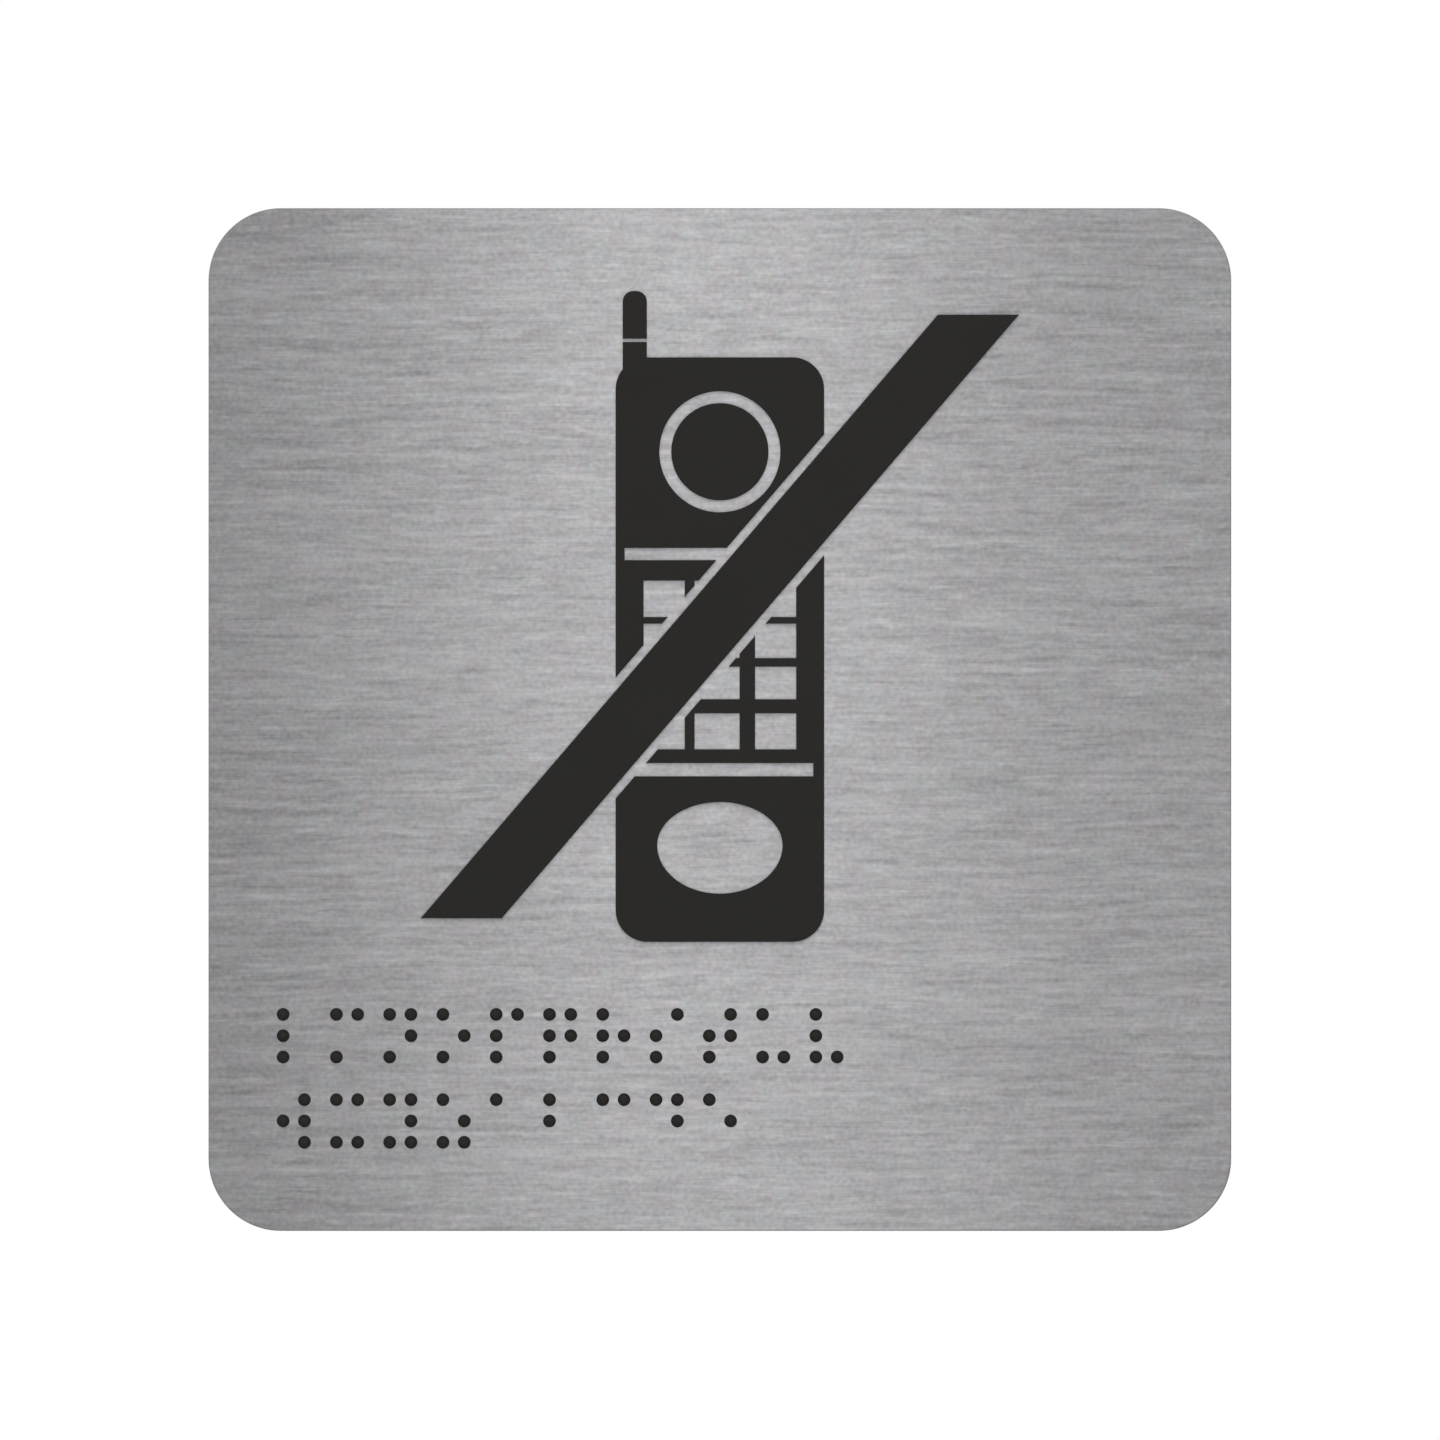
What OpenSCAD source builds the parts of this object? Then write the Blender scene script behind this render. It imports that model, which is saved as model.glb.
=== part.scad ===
// Square tactile door sign that forbids mobile phones. A brushed metal plate
// carries a raised black pictogram, cut from thin sheet, and two lines of
// Braille beads set in drilled pockets. Strips of foam tape behind the plate
// hold it on a wall or a door.
//
// The sign stands upright as it is read: X runs to the reader's right, Z runs
// up, and the face looks along -Y. The origin is on the wall, behind the middle
// of the plate. All sizes are in millimetres.

/* [Plate] */
// Width of the plate
plate_w = 120; // [102:1:180]
// Height of the plate
plate_h = 120; // [110:1:180]
// Thickness of the metal sheet
plate_t = 2; // [1.5:0.1:4]
// Radius of the plate's four corners
corner_r = 8.5; // [2:0.5:16]
// Chamfer that breaks the cut edges, front and back
edge_break = 0.15; // [0.05:0.05:0.5]

/* [Pictogram] */
// How far the raised shapes stand out of the plate
relief_t = 0.8; // [0.5:0.1:1.5]
// How far the middle of the artwork stands above the plate's middle
art_raise = 0.33; // [-2:0.01:4.1]

/* [Handset] */
// Width of the handset
phone_w = 24.45; // [24:0.05:30]
// Height of the handset without its aerial
phone_h = 68.55; // [66:0.05:70]
// Radius of the handset's corners
phone_r = 3.75; // [3:0.05:5]
// Width of the aerial
aerial_w = 2.83; // [2.2:0.01:4]
// How far the aerial stands above the handset
aerial_h = 7.78; // [6:0.01:9]
// From the handset's left side to the aerial
aerial_inset = 0.83; // [0.3:0.01:2]
// Radius of the two corners at the aerial's tip
aerial_tip_r = 1.25; // [0.3:0.05:1.4]
// Height of the slit that parts the aerial's tip from its stem
aerial_slit = 0.4; // [0.2:0.05:0.8]
// From the handset's top up to the slit
aerial_slit_rise = 1.8; // [1:0.05:3]

/* [Earpiece and mouthpiece] */
// From the handset's top down to the middle of the earpiece
ear_drop = 11.07; // [10:0.01:12]
// Outer diameter of the round groove
ear_groove_d = 14.2; // [12:0.05:15]
// Diameter of the disc inside the groove
ear_disc_d = 11.4; // [8:0.05:11.5]
// From the handset's foot up to where the mouthpiece is widest
mouth_rise = 11.34; // [9:0.01:12.5]
// Width of the oval mouthpiece
mouth_w = 14.7; // [10:0.05:18]
// Height of the oval above its widest line
mouth_above = 5.06; // [4:0.01:6]
// Height of the oval below its widest line, where it is a little fuller
mouth_below = 5.68; // [4:0.01:7]

/* [Keypad and slots] */
// From the handset's top down to the upper slot
slot_drop = 22.35; // [20:0.01:23]
// From the handset's foot up to the lower slot
slot_rise = 19.42; // [17.7:0.01:23.8]
// Height of the upper slot
upper_slot_h = 1.43; // [0.8:0.01:2]
// Height of the lower slot
lower_slot_h = 1.55; // [0.8:0.01:2]
// From the handset's left side to the slots
slot_inset_left = 1.05; // [0.8:0.01:2]
// From the slots to the handset's right side
slot_inset_right = 1.27; // [0.8:0.01:2]
// Band between the upper slot and the keys
upper_band_h = 2.4; // [1.5:0.01:3]
// Band between the keys and the lower slot
lower_band_h = 1.62; // [1:0.01:2.5]
// Widths of the key windows, from left to right
key_widths = [4.83, 5.28, 4.82]; // [4:0.01:6]
// Widths of the two upright bars between the windows
key_stiles = [1.15, 1.82]; // [0.8:0.01:2.2]
// Heights of the key windows against each other, from the top down: they fill what the slots leave
key_shares = [4.27, 4.03, 3.81, 4.21]; // [3:0.01:5]
// Heights of the three level bars between the windows
key_rails = [0.78, 1.02, 1.66]; // [0.6:0.01:2]

/* [Bar] */
// Width of the slanted bar, square across it
bar_w = 7.23; // [5:0.01:9]
// Slope of the bar above the level
bar_angle = 49.41; // [46:0.01:52]
// From the handset's top down to where the bar's middle crosses the handset's
bar_drop = 30.38; // [29.5:0.01:32]
// How far the ends of the bar stop short of the aerial's tip and the handset's foot
bar_short = 2.77; // [0:0.01:6]
// Clear metal on each side of the bar, square across it
bar_gap = 1; // [0.6:0.05:1.4]

/* [Braille] */
// Diameter of a bead
bead_d = 1.5; // [1.3:0.05:1.6]
// How far a bead stands out of the plate
bead_rise = 0.65; // [0.5:0.05:0.7]
// Clearance all round a bead in its drilled pocket
pocket_clear = 0.01; // [0:0.01:0.05]
// From dot to dot inside a cell
dot_pitch = 2.5; // [2.3:0.01:2.6]
// From cell to cell
cell_pitch = 6.25; // [5.8:0.01:6.6]
// From line to line
line_pitch = 10; // [9.6:0.05:10.8]
// From the plate's left edge to the first column of dots
braille_left = 8.76; // [6:0.01:12]
// From the handset's foot down to the highest row of dots
braille_drop = 8.52; // [3:0.01:16]
// Cells in the upper line
upper_cells = 11; // [1:1:14]
// Cells in the lower line
lower_cells = 9; // [1:1:14]
// Letter that the upper line starts with: the lines run on from it through the alphabet
first_letter = "l"; // [a, b, c, d, e, f, g, h, i, j, k, l, m, n, o, p, q, r, s, t, u, v, w, x, y, z]

/* [Tape] */
// Width of a strip of foam tape
tape_w = 19; // [12:1:25]
// Length of a strip
tape_l = 100; // [60:1:112]
// Thickness of the foam tape
tape_t = 1; // [0.5:0.1:2]
// From the plate's sides to the outer strips
tape_margin = 10.5; // [3:0.5:24.5]

/* [Hidden] */
$fn = 96;

metal = [0.64, 0.64, 0.65];
black = [0.17, 0.165, 0.16];
foam = [0.86, 0.86, 0.84];

// Levels in front of the wall
plate_back = tape_t;
plate_face = plate_back + plate_t;

// The artwork is the pictogram with the Braille below it. It reaches from the
// tip of the aerial to the lowest row of dots.
cell_rows = 3;
cell_h = (cell_rows - 1) * dot_pitch;
picto_h = aerial_h + phone_h;
art_h = picto_h + braille_drop + line_pitch + cell_h;

// Heights of its landmarks, from the plate's middle
picto_top = art_raise + art_h / 2;
phone_top = picto_top - aerial_h;
phone_foot = phone_top - phone_h;
phone_middle = (phone_top + phone_foot) / 2;
aerial_left = aerial_inset - phone_w / 2;
ear_height = phone_top - ear_drop;
mouth_height = phone_foot + mouth_rise;
bar_height = phone_top - bar_drop;
upper_line_foot = phone_foot - braille_drop - cell_h;
lower_line_foot = upper_line_foot - line_pitch;

// The key windows fill what is left between the two slots and their bands
upper_slot_foot = phone_top - slot_drop - upper_slot_h;
lower_slot_foot = phone_foot + slot_rise;
keypad_w = total(key_widths) + total(key_stiles);
keypad_top = upper_slot_foot - upper_band_h;
keypad_h = keypad_top - lower_slot_foot - lower_slot_h - lower_band_h;
key_heights = (keypad_h - total(key_rails)) / total(key_shares) * key_shares;

// Longer than any line across the pictogram
bar_reach = 2 * picto_h;

pocket_depth = bead_d - bead_rise;
tape_pitch = (plate_w - tape_w) / 2 - tape_margin;

// The corners at the aerial's tip can't be rounder than its width allows
aerial_r = min(aerial_tip_r, 0.45 * aerial_w);

// How far a cut runs past the face that it starts from
overcut = 1;

// Dots of the letters a to j in a Braille cell: 1 to 3 run down its left
// column and 4 to 6 down its right. The rest of the alphabet adds to them.
first_ten = [[1], [1, 2], [1, 4], [1, 4, 5], [1, 5], [1, 2, 4], [1, 2, 4, 5], [1, 2, 5], [2, 4], [2, 4, 5]];
alphabet = 26;

function sum_to(list, n) = n <= 0 ? 0 : list[n - 1] + sum_to(list, n - 1);
function total(list) = sum_to(list, len(list));

// Place of a letter in the alphabet, from 0 for a
function place(letter) = ord(letter) - ord("a");

// k to t add dot 3 to a to j, and u to z add dots 3 and 6 to a to e, except w,
// which stands outside the order and is j with dot 6
function letter_dots(i) =
    i < place("k") ? first_ten[i]
    : i < place("u") ? concat(first_ten[i - place("k")], [3])
    : i < place("w") ? concat(first_ten[i - place("u")], [3, 6])
    : i == place("w") ? concat(first_ten[place("j")], [6])
    : concat(first_ten[i - place("x") + place("c")], [3, 6]);

// Lays a flat shape or slab parallel to the wall, at a level in front of it
module in_front(level) {
    rotate([90, 0, 0]) translate([0, 0, level]) children();
}

module rounded_square(w, h, r) {
    square([w - 2 * r, h], center = true);
    square([w, h - 2 * r], center = true);
    for (x = [-1, 1], z = [-1, 1])
        translate([x * (w / 2 - r), z * (h / 2 - r)]) circle(r);
}

// Section through a slab that is as wide on both sides, with its edges broken
function eased_section(half, t, c) = [
    [c - half, 0], [half - c, 0], [half, c], [half, t - c],
    [half - c, t], [c - half, t], [-half, t - c], [-half, c]
];

// A slab with its edges broken all round: two crossed prisms and a turned disc
// in each corner, all of one section
module eased_slab(w, h, r, t, c) {
    rotate([90, 0, 90]) linear_extrude(w - 2 * r, center = true) polygon(eased_section(h / 2, t, c));
    rotate([90, 0, 0]) linear_extrude(h - 2 * r, center = true) polygon(eased_section(w / 2, t, c));
    for (x = [-1, 1], z = [-1, 1])
        translate([x * (w / 2 - r), z * (h / 2 - r), 0])
            rotate_extrude() polygon([[0, 0], [r - c, 0], [r, c], [r, t - c], [r - c, t], [0, t]]);
}

// Repeats its child at each dot of a Braille line, of letters in order from first
module at_dots(first, cells, foot) {
    for (cell = [0:cells - 1], dot = letter_dots((first + cell) % alphabet))
        translate([
            -plate_w / 2 + braille_left + cell * cell_pitch + (dot > cell_rows ? dot_pitch : 0),
            foot + (cell_rows - 1 - (dot - 1) % cell_rows) * dot_pitch
        ]) children();
}

module at_upper_dots() {
    at_dots(place(first_letter), upper_cells, upper_line_foot) children();
}

module at_lower_dots() {
    at_dots(place(first_letter) + upper_cells, lower_cells, lower_line_foot) children();
}

module face_plate() {
    color(metal) in_front(plate_back) difference() {
        eased_slab(plate_w, plate_h, corner_r, plate_t, edge_break);
        at_upper_dots() bead_pocket();
        at_lower_dots() bead_pocket();
    }
}

// A flat-bottomed hole in the plate's face, as deep as a bead sits
module bead_pocket() {
    translate([0, 0, plate_t - pocket_depth])
        cylinder(h = pocket_depth + overcut, r = bead_d / 2 + pocket_clear);
}

module bead() {
    translate([0, 0, bead_rise - bead_d / 2]) sphere(d = bead_d);
}

module braille_beads_upper() {
    color(black) in_front(plate_face) at_upper_dots() bead();
}

module braille_beads_lower() {
    color(black) in_front(plate_face) at_lower_dots() bead();
}

module handset_outline() {
    translate([0, phone_middle]) rounded_square(phone_w, phone_h, phone_r);
}

// The aerial as one stroke, from inside the handset's rounded corner to its tip
module aerial_outline() {
    translate([aerial_left, phone_top - phone_r])
        square([aerial_w, phone_r + aerial_h - aerial_r]);
    translate([aerial_left + aerial_r, picto_top - aerial_r])
        square([aerial_w - 2 * aerial_r, aerial_r]);
    for (x = [aerial_r, aerial_w - aerial_r])
        translate([aerial_left + x, picto_top - aerial_r]) circle(aerial_r);
}

// A level strip as wide as the whole pictogram, from one height to another
module level_strip(foot, top) {
    translate([-bar_reach / 2, foot]) square([bar_reach, top - foot]);
}

module slot(foot, h) {
    translate([slot_inset_left - phone_w / 2, foot])
        square([phone_w - slot_inset_left - slot_inset_right, h]);
}

module key_windows() {
    for (i = [0:len(key_widths) - 1], j = [0:len(key_heights) - 1])
        translate([
            sum_to(key_widths, i) + sum_to(key_stiles, i) - keypad_w / 2,
            keypad_top - sum_to(key_heights, j + 1) - sum_to(key_rails, j)
        ]) square([key_widths[i], key_heights[j]]);
}

// Half of an oval, over a strip that keeps the part above or below its widest line
module half_oval(h, foot, top) {
    intersection() {
        scale([1, 2 * h / mouth_w]) circle(d = mouth_w);
        level_strip(foot, top);
    }
}

module mouth_window() {
    translate([0, mouth_height]) {
        half_oval(mouth_above, 0, mouth_above + overcut);
        half_oval(mouth_below, -mouth_below - overcut, 0);
    }
}

// The handset with its aerial's stem, before the bar's clear strip parts it in two
module handset_face() {
    difference() {
        union() {
            handset_outline();
            intersection() {
                aerial_outline();
                level_strip(phone_foot, phone_top + aerial_slit_rise);
            }
        }
        translate([0, ear_height]) circle(d = ear_groove_d);
        slot(upper_slot_foot, upper_slot_h);
        slot(lower_slot_foot, lower_slot_h);
        key_windows();
        mouth_window();
    }
}

// Everything on one side of the bar and its clear strip: 1 is above it, -1 below
module beside_bar(side) {
    translate([0, bar_height]) rotate(bar_angle)
        translate([0, side * (bar_w / 2 + bar_gap + bar_reach / 2)])
            square([2 * bar_reach, bar_reach], center = true);
}

module handset_upper() {
    color(black) in_front(plate_face) linear_extrude(relief_t) intersection() {
        handset_face();
        beside_bar(1);
    }
}

module handset_lower() {
    color(black) in_front(plate_face) linear_extrude(relief_t) intersection() {
        handset_face();
        beside_bar(-1);
    }
}

module earpiece_disc() {
    color(black) in_front(plate_face) translate([0, ear_height, 0])
        cylinder(h = relief_t, d = ear_disc_d);
}

module aerial_tip() {
    color(black) in_front(plate_face) linear_extrude(relief_t) intersection() {
        aerial_outline();
        level_strip(phone_top + aerial_slit_rise + aerial_slit, picto_top);
    }
}

module slash_bar() {
    color(black) in_front(plate_face) linear_extrude(relief_t) intersection() {
        translate([0, bar_height]) rotate(bar_angle) square([2 * bar_reach, bar_w], center = true);
        level_strip(phone_foot + bar_short, picto_top - bar_short);
    }
}

// One upright strip of tape on the wall: column counts strips from the middle
module foam_tape(column) {
    color(foam) in_front(0) translate([column * tape_pitch - tape_w / 2, -tape_l / 2, 0])
        cube([tape_w, tape_l, tape_t]);
}

face_plate();
handset_upper();
handset_lower();
earpiece_disc();
aerial_tip();
slash_bar();
braille_beads_upper();
braille_beads_lower();
foam_tape(-1);  // foam_tape_left
foam_tape(0);  // foam_tape_middle
foam_tape(1);  // foam_tape_right
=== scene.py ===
"""A tactile door sign that forbids mobile phones, seen straight from the front.

The brushed plate, the raised black shapes, the Braille beads and the foam tape are
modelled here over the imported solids, in metres. The plate stands upright: X runs to
the reader's right, Z runs up, and the face looks along -Y.
"""

import math
import random

import bmesh
import bpy
from mathutils import Matrix, Vector


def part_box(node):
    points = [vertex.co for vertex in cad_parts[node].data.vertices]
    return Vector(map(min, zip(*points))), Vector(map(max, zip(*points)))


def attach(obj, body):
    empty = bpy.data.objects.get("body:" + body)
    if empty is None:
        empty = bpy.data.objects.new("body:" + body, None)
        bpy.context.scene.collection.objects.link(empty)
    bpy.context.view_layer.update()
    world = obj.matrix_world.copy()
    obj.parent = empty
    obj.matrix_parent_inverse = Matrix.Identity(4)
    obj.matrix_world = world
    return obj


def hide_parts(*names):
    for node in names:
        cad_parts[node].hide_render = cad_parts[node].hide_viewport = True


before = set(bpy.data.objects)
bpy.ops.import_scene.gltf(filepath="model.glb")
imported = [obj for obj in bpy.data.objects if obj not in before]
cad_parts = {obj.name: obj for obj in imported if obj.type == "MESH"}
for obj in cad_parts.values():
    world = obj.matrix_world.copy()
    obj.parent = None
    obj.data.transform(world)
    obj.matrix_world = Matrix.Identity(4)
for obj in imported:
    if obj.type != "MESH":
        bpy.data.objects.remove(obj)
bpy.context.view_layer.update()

MM = 0.001
X, Y, Z = range(3)

# The photograph's frame
IMAGE_PX = 1440
PX_PER_M = 8523.8
PLATE_MIDDLE_PX = (719.875, 719.53)
CAMERA_DISTANCE = 1.5
CAMERA_REACH = 20
SENSOR_WIDTH = 36

# The plate
CORNER_RADIUS = 8.5 * MM
CORNER_STEPS = 28
EDGE_BREAK = 0.15 * MM
EDGE_STEPS = 3
POCKET_CLEARANCE = 0.01 * MM
POCKET_SIDES = 28

# How far the brush marks wander up and down
MARK_WANDER = 1.3 * MM

# The raised shapes
RELIEF_ROUNDING = 0.07 * MM
RELIEF_STEPS = 2

# The beads
BEAD_SIDES = 24
BEAD_RINGS = 14

# The foam tape: its corners, how far its walls draw in, and how ragged its cut ends are
TAPE_CORNER = 0.4 * MM
TAPE_CORNER_STEPS = 4
TAPE_WAIST = 0.09 * MM
TAPE_RAGGED = 0.12 * MM
TAPE_END = 0.5 * MM
TAPE_CUTS_ALONG = 48
TAPE_CUTS_THROUGH = 3

# A point is on a wall of the tape from this share of the way out from its middle
TAPE_WALL = 0.94

# The floor
FLOOR_RADIUS = 2.6
FLOOR_SIDES = 96
FLOOR_HEIGHT = -0.25

# A direction runs along an axis where at least this much of it lies that way
FACING = 0.9

# Points closer than this are one
SAME_POINT = 0.001 * MM

# Faces that turn less than this from one to the next are one flat face
FLAT_TURN = math.radians(0.5)

# Faces that turn less than this from one to the next are shaded as one surface
SMOOTH_TURN = math.radians(40)

# Edges of a raised shape that turn more than this are rounded
CORNER_TURN = math.radians(60)

# How far each pattern is turned from the axes, in radians
PATTERN_TURN = (0.62, 0.35, 0.87)

# Sockets of a Mix node that are used when it mixes colours
MIX_FACTOR = 0
MIX_FIRST = 6
MIX_SECOND = 7
MIX_RESULT = 2


class Number:
    """A socket that carries a number. Python's operators on it add Math nodes."""

    def __init__(self, paint, socket):
        self.paint = paint
        self.socket = socket

    def _with(self, operation, *others):
        inputs = dict(enumerate((self, *others)))
        return self.paint.number("ShaderNodeMath", {"operation": operation}, inputs)

    def _after(self, operation, other):
        return self.paint.number("ShaderNodeMath", {"operation": operation}, {0: other, 1: self})

    def __add__(self, other):
        return self._with("ADD", other)

    def __sub__(self, other):
        return self._with("SUBTRACT", other)

    def __mul__(self, other):
        return self._with("MULTIPLY", other)

    def __rsub__(self, other):
        return self._after("SUBTRACT", other)

    __radd__ = __add__
    __rmul__ = __mul__

    def clamped(self, low=0.0, high=1.0):
        return self._with("MAXIMUM", low)._with("MINIMUM", high)

    def step(self, low, high):
        """0 below low, 1 above high, and smooth between them."""
        settings = {"interpolation_type": "SMOOTHSTEP"}
        inputs = {"Value": self, "From Min": low, "From Max": high}
        return self.paint.number("ShaderNodeMapRange", settings, inputs)


class Paint:
    """A material, or the world, and short ways to add nodes to it."""

    def __init__(self, owner):
        owner.use_nodes = True
        self.owner = owner
        self.tree = owner.node_tree
        self.tree.nodes.clear()

    def node(self, kind, settings=None, inputs=None):
        """Adds a node, sets its properties, then fills its inputs with values or links."""
        made = self.tree.nodes.new(kind)
        for name, value in (settings or {}).items():
            setattr(made, name, value)
        for name, value in (inputs or {}).items():
            source = value.socket if isinstance(value, Number) else value
            if isinstance(source, bpy.types.NodeSocket):
                self.tree.links.new(source, made.inputs[name])
            else:
                made.inputs[name].default_value = source
        return made

    def number(self, kind, settings=None, inputs=None, output=0):
        return Number(self, self.node(kind, settings, inputs).outputs[output])

    def place(self):
        """The point's place on the piece, in metres."""
        return self.node("ShaderNodeTexCoord").outputs["Object"]

    def stretched(self, per_metre, start=(0, 0, 0), place=None):
        """The point's place with so many pattern units to a metre along each axis, turned
        so that the pattern's own grid doesn't line up with the faces."""
        inputs = {
            "Vector": place or self.place(),
            "Scale": per_metre,
            "Rotation": PATTERN_TURN,
            "Location": start,
        }
        return self.node("ShaderNodeMapping", {}, inputs).outputs["Vector"]

    def noise(self, per_metre, detail=2.0, roughness=0.5, start=(0, 0, 0), place=None):
        """Smooth noise from 0 to 1, about 0.5 in the middle."""
        inputs = {
            "Vector": self.stretched(per_metre, start, place),
            "Scale": 1.0,
            "Detail": detail,
            "Roughness": roughness,
        }
        return self.number("ShaderNodeTexNoise", {}, inputs)

    def cells(self, per_metre):
        """How far the point lies from the middle of its cell, in cells of uneven size."""
        inputs = {"Vector": self.stretched(per_metre), "Scale": 1.0, "Randomness": 1.0}
        return self.number("ShaderNodeTexVoronoi", {}, inputs, "Distance")

    def blend(self, way, first, second, factor=1.0):
        """Two colours put together, for example by MULTIPLY, in full or by a factor."""
        settings = {"data_type": "RGBA", "blend_type": way}
        inputs = {MIX_FACTOR: factor, MIX_FIRST: first, MIX_SECOND: second}
        return self.node("ShaderNodeMix", settings, inputs).outputs[MIX_RESULT]

    def mix(self, factor, first, second):
        """A colour between two others."""
        return self.blend("MIX", first, second, factor)

    def bump(self, height, depth, strength=1.0):
        """A normal for a relief that is depth metres high."""
        inputs = {"Height": height, "Distance": depth, "Strength": strength}
        return self.node("ShaderNodeBump", {}, inputs).outputs["Normal"]

    def surface(self, shader):
        """Finishes the material with a Principled shader that has these inputs."""
        made = self.node("ShaderNodeBsdfPrincipled", {}, shader)
        self.node("ShaderNodeOutputMaterial", {}, {"Surface": made.outputs[0]})
        return self.owner


def material(name):
    """A new material with nothing in it yet."""
    return Paint(bpy.data.materials.new(name))


def grey(level, red=0.0, blue=0.0):
    """A colour near grey, warmer or cooler by a little red or blue."""
    return (level * (1 + red), level, level * (1 + blue), 1.0)


def brushed_face():
    """Level brush marks on the plate's front: short wavy streaks, beaded along their
    length, with bright flecks, dark dashes and very fine scratches, over broad patches
    and a faint mottle of mauve and grey."""
    paint = material("brushed_face")
    drift = paint.noise((35, 35, 60), 1.0, start=(3.1, 0, 7.7))
    apart = paint.node("ShaderNodeSeparateXYZ", {}, {0: paint.place()})
    across, up = Number(paint, apart.outputs["X"]), Number(paint, apart.outputs["Z"])
    wavy_up = up + (drift - 0.5) * MARK_WANDER
    wandering = paint.node("ShaderNodeCombineXYZ", {}, {"X": across, "Z": wavy_up}).outputs[0]
    long_marks = paint.noise((66, 1, 1250), 1.5, 0.55, start=(0, 4.2, 0), place=wandering)
    short_marks = paint.noise((300, 1, 1650), 1.0, 0.5, start=(5.3, 9.1, 2.2), place=wandering)
    hairlines = paint.noise((120, 1, 6500), 1.0, 0.5, start=(4.4, 3.3, 9.7), place=wandering)
    scratches = paint.noise((210, 1, 21000), 2.0, 0.65, start=(7.9, 5.2, 0.3), place=wandering)
    dash_noise = paint.noise((140, 1, 1500), 0.0, 0.5, start=(2.6, 7.4, 6.1), place=wandering)
    dashes = dash_noise.step(0.62, 0.80)
    fleck_noise = paint.noise((330, 1, 2300), 0.0, 0.5, start=(6.2, 1.1, 4.7), place=wandering)
    flecks = fleck_noise.step(0.60, 0.80)
    beading = paint.noise((1900, 1, 2100), 0.0, 0.5, start=(1.7, 2.9, 8.4))
    patches = paint.noise((40, 1, 110), 1.0, 0.5, start=(8.8, 1.3, 0.4))
    streaks = (long_marks - 0.5) * 0.95 + (short_marks - 0.5) * 0.56
    broad_marks = streaks + flecks * 0.17 - dashes * 0.12
    fine_marks = (hairlines - 0.5) * 0.12 + (scratches - 0.5) * 0.85
    marks = broad_marks + (beading - 0.5) * 0.52 + fine_marks
    tone = (0.487 + marks * 0.92 + (patches - 0.5) * 0.24).clamped()
    metal = paint.mix(tone, grey(0.171), grey(0.353))
    mauve = paint.noise((420, 1, 420), 1.0, 0.5, start=(0.6, 6.6, 3.9)).step(0.40, 0.60)
    warmth = paint.noise((460, 1, 460), 1.0, 0.5, start=(9.2, 0.8, 5.1)).step(0.40, 0.60)
    mauve_tint = paint.mix(mauve, (1, 1, 1, 1), (1, 0.97, 1, 1))
    warm_tint = paint.mix(warmth, (0.985, 1, 1.015, 1), (1.006, 1, 0.996, 1))
    mottle = paint.blend("MULTIPLY", mauve_tint, warm_tint)
    roughness = 0.37 + (long_marks - 0.5) * 0.08 + (scratches - 0.5) * 0.10
    relief = broad_marks * 0.6 + hairlines + scratches * 0.5
    return paint.surface({
        "Base Color": paint.blend("MULTIPLY", metal, mottle),
        "Metallic": 1.0,
        "Roughness": roughness.clamped(0.2, 0.7),
        "Anisotropic": 0.85,
        "Anisotropic Rotation": 0.25,
        "Normal": paint.bump(relief, 0.010 * MM, 0.4),
    })


def mill_back():
    """The sheet as it was rolled: dull, with fine upright rolling lines and a few scuffs."""
    paint = material("mill_back")
    rolling = paint.noise((1400, 1, 40), 2.0, 0.6)
    cloud = paint.noise((30, 1, 22), 3.0, 0.6, start=(4, 2, 9))
    scuffs = paint.noise((150, 1, 2600), 1.0, 0.6, start=(2, 7, 1)).step(0.69, 0.77)
    tone = (0.5 + (rolling - 0.5) * 0.9 + (cloud - 0.5) * 0.8 + scuffs * 0.22).clamped()
    return paint.surface({
        "Base Color": paint.mix(tone, grey(0.25, 0, 0.01), grey(0.37, 0, 0.02)),
        "Metallic": 1.0,
        "Roughness": (0.43 + (cloud - 0.5) * 0.16 + scuffs * 0.12).clamped(0.25, 0.8),
        "Normal": paint.bump(rolling, 0.003 * MM, 0.4),
    })


def cut_edge():
    """The sheet's cut edge: fine marks across its thickness, with a little shadow where
    they run deep."""
    paint = material("cut_edge")
    cut = paint.noise((2600, 90, 2600), 2.0, 0.6)
    along = paint.noise((60, 260, 60), 2.0, 0.5, start=(1, 5, 2))
    tone = (0.5 + (cut - 0.5) * 1.3 + (along - 0.5) * 0.5).clamped()
    return paint.surface({
        "Base Color": paint.mix(tone, grey(0.22), grey(0.40)),
        "Metallic": 1.0,
        "Roughness": (0.33 + (cut - 0.5) * 0.2).clamped(0.15, 0.6),
        "Normal": paint.bump(cut, 0.006 * MM, 0.5),
    })


def black_face():
    """Satin black sheet: a very fine grain, and a faint bloom where it has been wiped."""
    paint = material("black_face")
    grain = paint.noise((5200, 5200, 5200), 1.0, 0.5)
    wiped = paint.noise((70, 1, 130), 2.0, 0.6, start=(7, 3, 5))
    tone = (0.5 + (grain - 0.5) * 0.7 + (wiped - 0.5) * 0.5).clamped()
    return paint.surface({
        "Base Color": paint.mix(tone, grey(0.0091, 0.08, -0.15), grey(0.0133, 0.08, -0.15)),
        "Roughness": (0.50 + (wiped - 0.5) * 0.14 + (grain - 0.5) * 0.10).clamped(0.3, 0.7),
        "Specular IOR Level": 0.15,
        "Normal": paint.bump(grain, 0.002 * MM, 0.5),
    })


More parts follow.
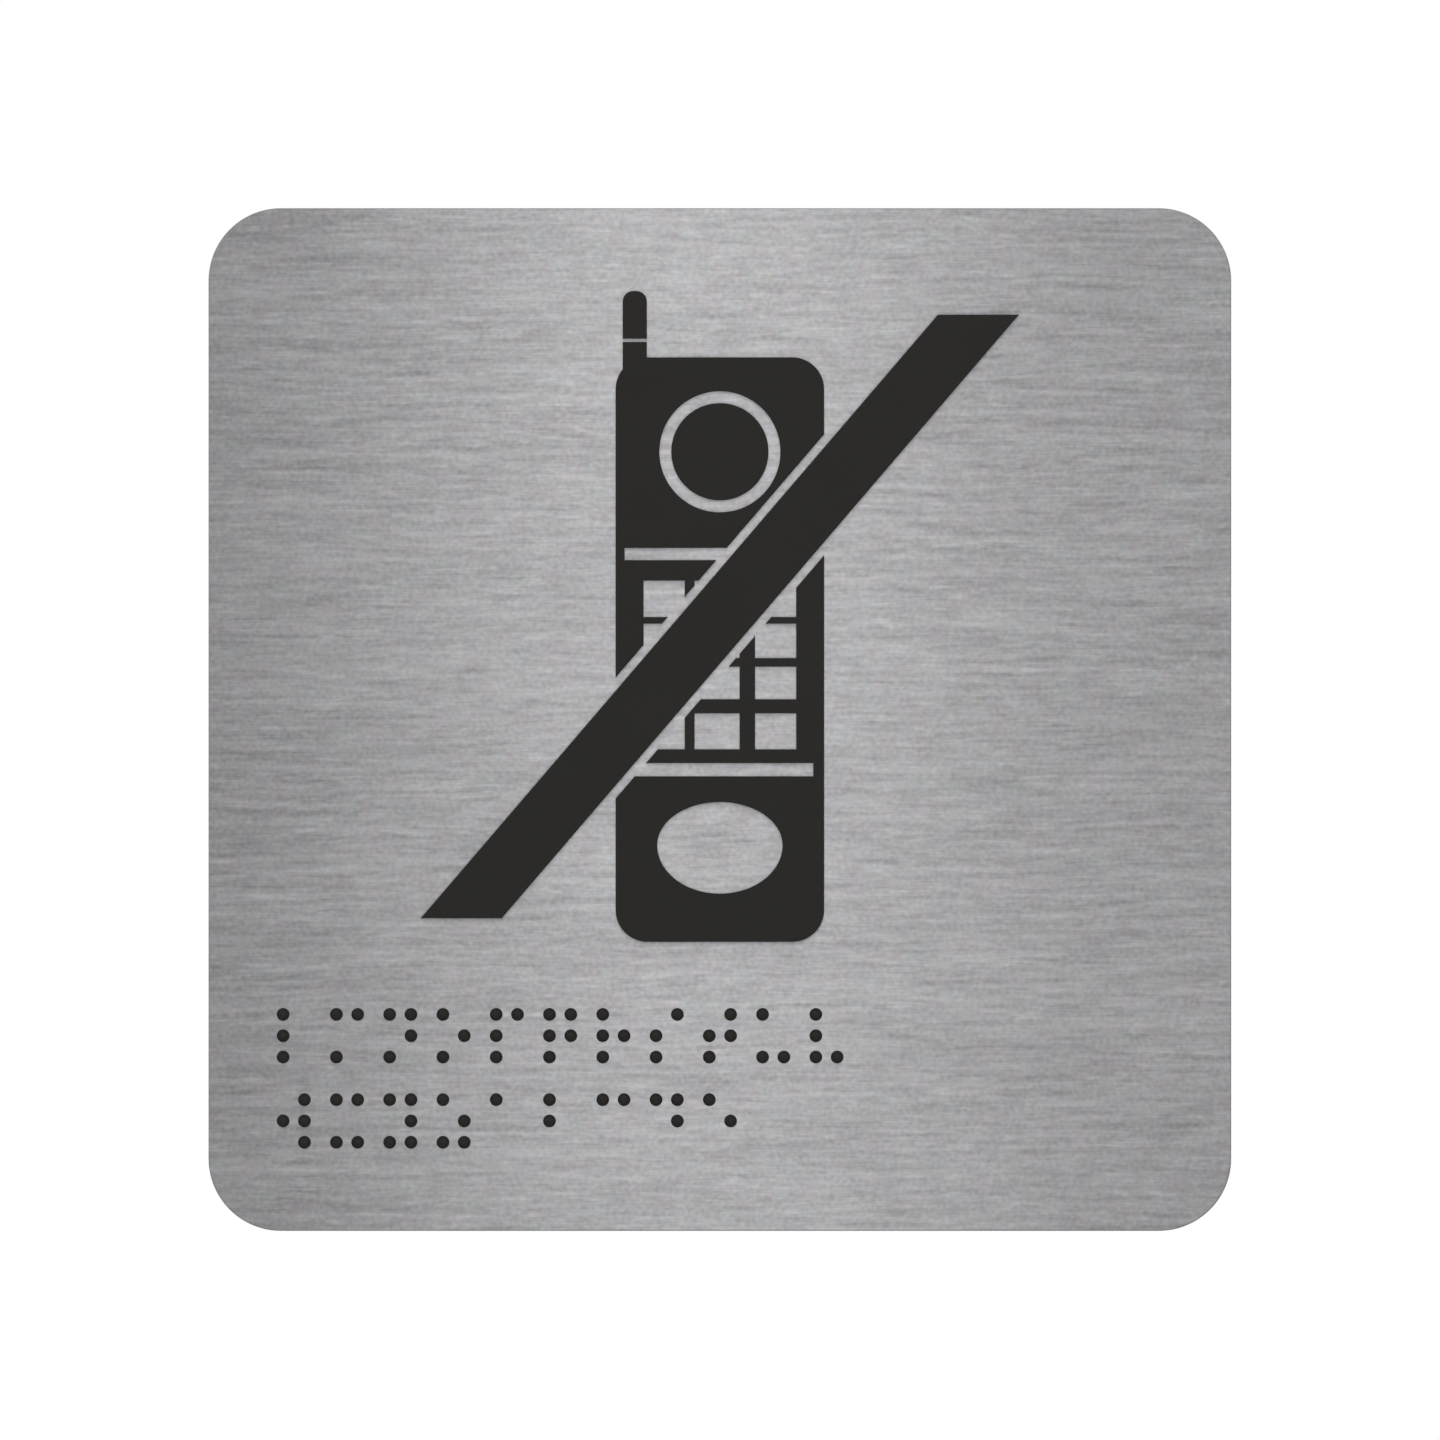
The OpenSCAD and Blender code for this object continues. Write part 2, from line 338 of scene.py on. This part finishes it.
def black_side():
    """The cut side of the black sheet, with marks across its thickness and more shine."""
    paint = material("black_side")
    cut = paint.noise((3800, 160, 3800), 2.0, 0.6)
    return paint.surface({
        "Base Color": paint.mix(cut, grey(0.006, 0.08, -0.1), grey(0.016, 0.08, -0.1)),
        "Roughness": (0.30 + (cut - 0.5) * 0.18).clamped(0.15, 0.6),
        "Specular IOR Level": 0.35,
        "Normal": paint.bump(cut, 0.005 * MM, 0.6),
    })


def black_bead():
    """A moulded black bead, matt with touch-worn tops."""
    paint = material("black_bead")
    grain = paint.noise((4200, 4200, 4200), 2.0, 0.5, start=(2, 2, 2))
    touch = paint.noise((380, 380, 380), 1.0, 0.5, start=(9, 4, 1))
    return paint.surface({
        "Base Color": paint.mix(grain, grey(0.0150, 0.08, -0.10), grey(0.0205, 0.08, -0.10)),
        "Roughness": (0.50 + (touch - 0.5) * 0.16).clamped(0.25, 0.7),
        "Specular IOR Level": 0.12,
        "Normal": paint.bump(grain, 0.002 * MM, 0.4),
    })


def foam():
    """Closed-cell foam: small round cells of uneven size, off-white."""
    paint = material("foam")
    cells = paint.cells((5200, 5200, 5200))
    soft = paint.noise((240, 240, 240), 2.0, 0.6)
    tone = (cells * 0.9 + (soft - 0.5) * 0.6 + 0.2).clamped()
    return paint.surface({
        "Base Color": paint.mix(tone, grey(0.50, 0.03, -0.05), grey(0.72, 0.02, -0.04)),
        "Roughness": (0.72 + (soft - 0.5) * 0.2).clamped(0.4, 1.0),
        "Normal": paint.bump(cells, 0.05 * MM, 0.6),
    })


def tacky_back():
    """The tape's bare adhesive: a clear skin over the foam, with faint stretch lines."""
    paint = material("tacky_back")
    lines = paint.noise((900, 60, 30), 2.0, 0.55, start=(3, 1, 2))
    cells = paint.cells((1900, 1900, 1900))
    tone = (0.25 + (lines - 0.5) * 0.8 + cells * 0.6).clamped()
    return paint.surface({
        "Base Color": paint.mix(tone, grey(0.52, 0.04, -0.08), grey(0.68, 0.03, -0.06)),
        "Roughness": (0.30 + (lines - 0.5) * 0.25).clamped(0.15, 0.8),
        "Normal": paint.bump(lines + cells * 0.8, 0.03 * MM, 0.7),
    })


def pale_floor():
    """A plain pale surface, a little uneven in tone."""
    paint = material("pale_floor")
    speck = paint.noise((9, 9, 9), 3.0, 0.6)
    return paint.surface({
        "Base Color": paint.mix(speck, grey(0.80), grey(0.86)),
        "Roughness": 0.7,
    })


def new_piece(name, bm, materials):
    """Makes a finished piece of a bmesh, with its place in its mesh."""
    mesh = bpy.data.meshes.new(name)
    bm.to_mesh(mesh)
    bm.free()
    for each in materials:
        mesh.materials.append(each)
    piece = bpy.data.objects.new(name, mesh)
    bpy.context.scene.collection.objects.link(piece)
    return piece


def joined_copy(node):
    """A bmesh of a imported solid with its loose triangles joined."""
    bm = bmesh.new()
    bm.from_mesh(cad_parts[node].data)
    bmesh.ops.remove_doubles(bm, verts=bm.verts[:], dist=SAME_POINT)
    return bm


def slab(low, high):
    """A box between two corners."""
    bm = bmesh.new()
    bmesh.ops.create_cube(bm, size=1.0)
    bmesh.ops.scale(bm, vec=high - low, verts=bm.verts[:])
    bmesh.ops.translate(bm, vec=(high + low) / 2, verts=bm.verts[:])
    return bm


def runs_along(edge, axis):
    """True if an edge runs along an axis."""
    direction = (edge.verts[1].co - edge.verts[0].co).normalized()
    return abs(direction[axis]) > FACING


def rounded(bm, edges, radius, steps):
    """Rounds edges off, in so many steps."""
    bmesh.ops.bevel(bm, geom=edges, offset=radius, affect="EDGES", segments=steps,
                    profile=0.5, material=-1)


def finish_faces(bm, front, back, side):
    """Gives each face its material by the way it looks. Flat faces stay flat, and the
    rest are smooth between their sharp edges."""
    for face in bm.faces:
        level = face.normal.y
        face.material_index = front if level < -FACING else back if level > FACING else side
        face.smooth = abs(level) < FACING
    for edge in bm.edges:
        edge.smooth = edge.calc_face_angle(0.0) < SMOOTH_TURN


def bead_places(node):
    """The middle and radius of each bead of a line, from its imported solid."""
    bm = joined_copy(node)
    places = []
    seen = set()
    for start in bm.verts:
        if start in seen:
            continue
        seen.add(start)
        bead = [start]
        for vert in bead:
            neighbours = [edge.other_vert(vert) for edge in vert.link_edges]
            fresh = [each for each in neighbours if each not in seen]
            seen.update(fresh)
            bead.extend(fresh)
        lows = Vector([min(v.co[axis] for v in bead) for axis in range(3)])
        highs = Vector([max(v.co[axis] for v in bead) for axis in range(3)])
        places.append(((lows + highs) / 2, (highs.z - lows.z) / 2))
    bm.free()
    return places


def facing_front(x, y, z):
    """The move that brings a round shape to a place, with its axis from front to back."""
    return Matrix.Translation((x, y, z)) @ Matrix.Rotation(math.pi / 2, 4, "X")


def pocket_drills(bead_lines, face):
    """A flat-ended drill for each bead's pocket, as long before the plate's face as behind."""
    bm = bmesh.new()
    for middle, radius in bead_lines:
        depth = middle.y + radius - face
        wide = radius + POCKET_CLEARANCE
        bmesh.ops.create_cone(bm, cap_ends=True, segments=POCKET_SIDES, radius1=wide, radius2=wide,
                              depth=2 * depth, matrix=facing_front(middle.x, face, middle.z))
    return new_piece("drills", bm, [])


def plate(bead_lines):
    """The brushed plate: rounded corners, broken edges and a drilled pocket for each bead."""
    low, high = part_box("face_plate")
    bm = slab(low, high)
    rounded(bm, [e for e in bm.edges if runs_along(e, Y)], CORNER_RADIUS, CORNER_STEPS)
    rounded(bm, [e for e in bm.edges if not runs_along(e, Y)], EDGE_BREAK, EDGE_STEPS)
    piece = new_piece("plate", bm, [brushed_face(), mill_back(), cut_edge()])
    drills = pocket_drills(bead_lines, low.y)
    cut = piece.modifiers.new("pockets", "BOOLEAN")
    cut.object = drills
    cut.solver = "EXACT"
    graph = bpy.context.evaluated_depsgraph_get()
    drilled = bpy.data.meshes.new_from_object(piece.evaluated_get(graph))
    piece.modifiers.clear()
    piece.data = drilled
    bpy.data.objects.remove(drills)
    bm = bmesh.new()
    bm.from_mesh(drilled)
    finish_faces(bm, front=0, back=1, side=2)
    bm.to_mesh(drilled)
    bm.free()
    return piece


def raised_shape(name, node, materials):
    """A raised black shape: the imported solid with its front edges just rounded."""
    low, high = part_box(node)
    bm = joined_copy(node)
    bmesh.ops.dissolve_limit(bm, angle_limit=FLAT_TURN, verts=bm.verts[:], edges=bm.edges[:])
    front = [e for e in bm.edges if e.calc_face_angle(0.0) > CORNER_TURN
             and max(v.co.y for v in e.verts) < low.y + RELIEF_ROUNDING]
    rounded(bm, front, RELIEF_ROUNDING, RELIEF_STEPS)
    finish_faces(bm, front=0, back=0, side=1)
    return new_piece(name, bm, materials)


def beads(name, places, finish):
    """The round beads of one line of Braille."""
    bm = bmesh.new()
    for middle, radius in places:
        bmesh.ops.create_uvsphere(bm, u_segments=BEAD_SIDES, v_segments=BEAD_RINGS, radius=radius,
                                  matrix=facing_front(*middle))
    for face in bm.faces:
        face.smooth = True
    return new_piece(name, bm, [finish])


def tape_strip(name, node, materials, chance):
    """A strip of foam tape: its walls drawn in a little between the two skins, and its
    cut ends slightly ragged."""
    low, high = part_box(node)
    bm = slab(low, high)
    rounded(bm, [e for e in bm.edges if runs_along(e, Y)], TAPE_CORNER, TAPE_CORNER_STEPS)
    for axis, cuts in ((Z, TAPE_CUTS_ALONG), (Y, TAPE_CUTS_THROUGH)):
        bmesh.ops.subdivide_edges(bm, edges=[e for e in bm.edges if runs_along(e, axis)], cuts=cuts)
    middle = (low + high) / 2
    half = (high - low) / 2
    for vert in bm.verts:
        level = (vert.co.y - middle.y) / half.y
        draw = TAPE_WAIST * (1 - level * level) * chance.uniform(0.6, 1.0)
        for axis in (X, Z):
            reach = (vert.co[axis] - middle[axis]) / half[axis]
            if abs(reach) > TAPE_WALL:
                vert.co[axis] -= math.copysign(draw, reach)
        if abs(vert.co.z - middle.z) > half.z - TAPE_END:
            vert.co.z -= math.copysign(TAPE_RAGGED * chance.uniform(0.0, 1.0), vert.co.z - middle.z)
    bmesh.ops.recalc_face_normals(bm, faces=bm.faces[:])
    finish_faces(bm, front=1, back=1, side=0)
    return new_piece(name, bm, materials)


def portrait_camera():
    """Looks straight at the plate, from far enough that it is drawn without perspective."""
    low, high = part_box("face_plate")
    frame_width = IMAGE_PX / PX_PER_M
    data = bpy.data.cameras.new("portrait")
    data.sensor_width = SENSOR_WIDTH
    data.lens = SENSOR_WIDTH * CAMERA_DISTANCE / frame_width
    data.clip_end = CAMERA_REACH
    camera = bpy.data.objects.new("portrait", data)
    bpy.context.scene.collection.objects.link(camera)
    middle = (low + high) / 2
    right = (IMAGE_PX / 2 - PLATE_MIDDLE_PX[0]) / PX_PER_M
    down = (IMAGE_PX / 2 - PLATE_MIDDLE_PX[1]) / PX_PER_M
    camera.location = (middle.x + right, low.y - CAMERA_DISTANCE, middle.z - down)
    camera.rotation_euler = (math.pi / 2, 0, 0)
    bpy.context.scene.camera = camera


def soft_lamp(name, place, aim, size, power):
    """A rectangular lamp that the camera doesn't see."""
    data = bpy.data.lights.new(name, "AREA")
    data.shape = "RECTANGLE"
    data.size, data.size_y = size
    data.energy = power
    lamp = bpy.data.objects.new(name, data)
    bpy.context.scene.collection.objects.link(lamp)
    lamp.location = place
    lamp.rotation_euler = (Vector(aim) - Vector(place)).to_track_quat("-Z", "Z").to_euler()
    lamp.visible_camera = False


def studio():
    """A white room with a pale floor below the sign, and lamps at a plain level."""
    ambient = 0.7
    paint = Paint(bpy.data.worlds.new("white_room"))
    rays = paint.node("ShaderNodeLightPath").outputs
    camera = Number(paint, rays["Is Camera Ray"])
    glossy = Number(paint, rays["Is Glossy Ray"])
    through = Number(paint, rays["Is Transmission Ray"])
    seen = (camera + glossy + through).clamped()
    strength = ambient + seen * (1 - ambient)
    white = paint.node("ShaderNodeBackground", {}, {"Color": (1, 1, 1, 1), "Strength": strength})
    paint.node("ShaderNodeOutputWorld", {}, {"Surface": white.outputs[0]})
    bpy.context.scene.world = paint.owner
    bpy.context.scene.view_settings.view_transform = "Standard"

    bm = bmesh.new()
    bmesh.ops.create_circle(bm, cap_ends=True, segments=FLOOR_SIDES, radius=FLOOR_RADIUS)
    bmesh.ops.translate(bm, vec=(0, 0, FLOOR_HEIGHT), verts=bm.verts[:])
    new_piece("floor", bm, [pale_floor()])

    soft_lamp("front_strip", (-0.004, -0.35, 0.065), (-0.004, 0, 0), (0.07, 0.4), 0.186)
    soft_lamp("front_right", (0.12, -0.45, 0.07), (0.035, 0, 0), (0.08, 0.4), 0.100)
    soft_lamp("above_left", (-0.7, -0.6, 0.9), (0, 0, 0), (0.6, 0.6), 1)
    soft_lamp("behind_right", (0.8, 0.8, 0.7), (0, 0, 0), (1.0, 1.0), 2)


portrait_camera()
studio()

upper = bead_places("braille_beads_upper")
lower = bead_places("braille_beads_lower")
black = [black_face(), black_side()]
bead_finish = black_bead()
tape = [foam(), tacky_back()]
chance = random.Random(5)

pieces = [
    (plate(upper + lower), "face_plate", "brushed_plate"),
    (beads("beads_upper", upper, bead_finish), "braille_beads_upper", "black_beads"),
    (beads("beads_lower", lower, bead_finish), "braille_beads_lower", "black_beads"),
]
for node in ("handset_upper", "handset_lower", "earpiece_disc", "aerial_tip", "slash_bar"):
    pieces.append((raised_shape("raised_" + node, node, black), node, "black_relief"))
for node in ("foam_tape_left", "foam_tape_middle", "foam_tape_right"):
    pieces.append((tape_strip("strip_" + node, node, tape, chance), node, "foam_tape"))

for piece, node, slot in pieces:
    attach(piece, "root")
    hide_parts(node)
